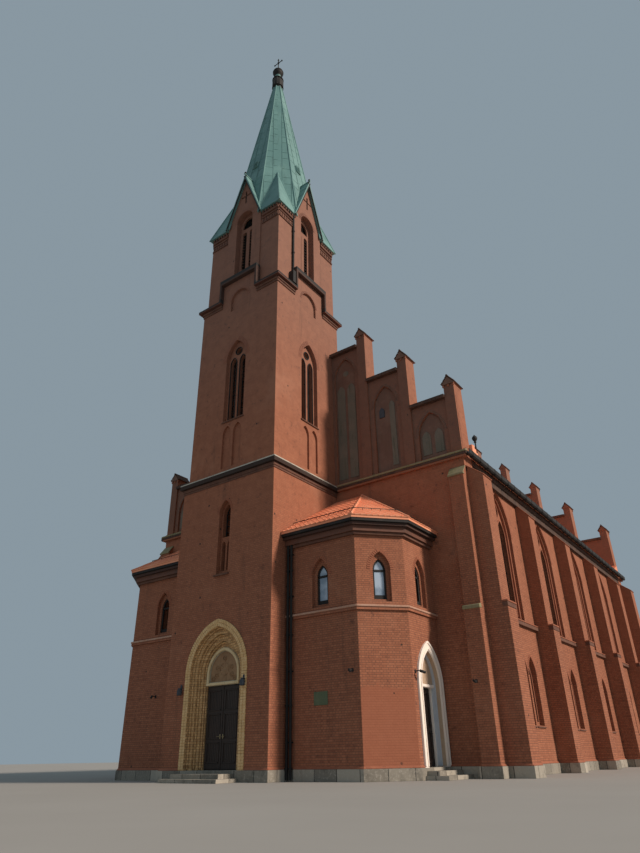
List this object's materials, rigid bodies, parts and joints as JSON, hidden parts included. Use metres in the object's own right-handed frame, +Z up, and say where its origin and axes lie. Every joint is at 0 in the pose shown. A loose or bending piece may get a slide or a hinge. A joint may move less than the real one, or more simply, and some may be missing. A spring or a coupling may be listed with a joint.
{
  "type": "half-scale model of a brick church building with a tower and spire",
  "caption": "Half-scale brick church: hollow walls, west tower with copper spire, stepped gables, tiled roof, side annexes and hinged portal and side doors.",
  "frame": {"origin": "ground level at the middle of the footprint's box", "axes": "-Y out of the tower's portal front, +X to the side with the side door, +Z up"},
  "size_m": [10.48, 17.215, 23.8],
  "materials": {
    "brick": "weathered orange-red brick with pale joints",
    "yellow_brick": "moulded ochre-yellow brick",
    "granite": "rough grey granite",
    "floor_stone": "worn grey floor slabs",
    "light_stone": "pale weathered stone",
    "plaster": "pale plaster",
    "copper": "green patina copper sheet",
    "clay_tile": "orange-red clay roof tile",
    "dark_metal": "dark weathered metal",
    "wood": "dark brown varnished oak",
    "glass": "leaded glass, dark from outside",
    "louvre": "dark timber louvres"
  },
  "bodies": {
    "building": {"granite_plinth": "granite", "floor": "floor_stone", "tower_front_left": "brick", "tower_front_right": "brick", "tower_front_over_portal": "brick", "tower_lower_walls": "brick", "tower_lower_string": "light_stone", "tower_upper_walls": "brick", "tower_upper_string": "dark_metal", "belfry_walls": "brick", "spire_roof": "copper", "spire_finial": "dark_metal", "nave_west_wall_left": "brick", "nave_west_wall_right": "brick", "nave_east_wall": "brick", "nave_right_wall": "brick", "nave_left_wall": "brick", "nave_roof_left": "clay_tile", "nave_roof_right": "clay_tile", "nave_gutter_left": "dark_metal", "nave_gutter_right": "dark_metal", "annex_right_wall": "brick", "annex_right_jamb": "brick", "annex_right_over_door": "brick", "annex_right_cornice": "dark_metal", "annex_right_roof": "clay_tile", "annex_left_wall": "brick", "annex_left_cornice": "dark_metal", "annex_left_roof": "clay_tile", "nave_right_glazing": "glass", "nave_left_glazing": "glass", "annex_right_glazing": "glass", "annex_left_glazing": "glass", "tower_glazing": "glass", "belfry_louvres": "louvre", "portal_arch": "yellow_brick", "portal_tympanum": "light_stone", "portal_steps": "granite", "side_door_surround": "plaster", "side_door_steps": "granite", "tower_downpipe": "dark_metal", "annex_downpipes": "dark_metal"},
    "portal_leaf_left": {"portal_door_left": "wood"},
    "portal_leaf_right": {"portal_door_right": "wood"},
    "side_leaf": {"side_door_leaf": "wood"}
  },
  "joints": [
    {"name": "portal_left_hinge", "type": "hinge", "parent": "building", "child": "portal_leaf_left", "pos_m": [-0.424, -7.7425, 0.19], "axis": [0, 0, 1], "range_deg": [0, 90]},
    {"name": "portal_right_hinge", "type": "hinge", "parent": "building", "child": "portal_leaf_right", "pos_m": [0.424, -7.7425, 0.19], "axis": [0, 0, -1], "range_deg": [0, 90]},
    {"name": "side_door_hinge", "type": "hinge", "parent": "building", "child": "side_leaf", "pos_m": [3.51, -6.4425, 0.19], "axis": [0, 0, 1], "range_deg": [0, 90]}
  ]
}
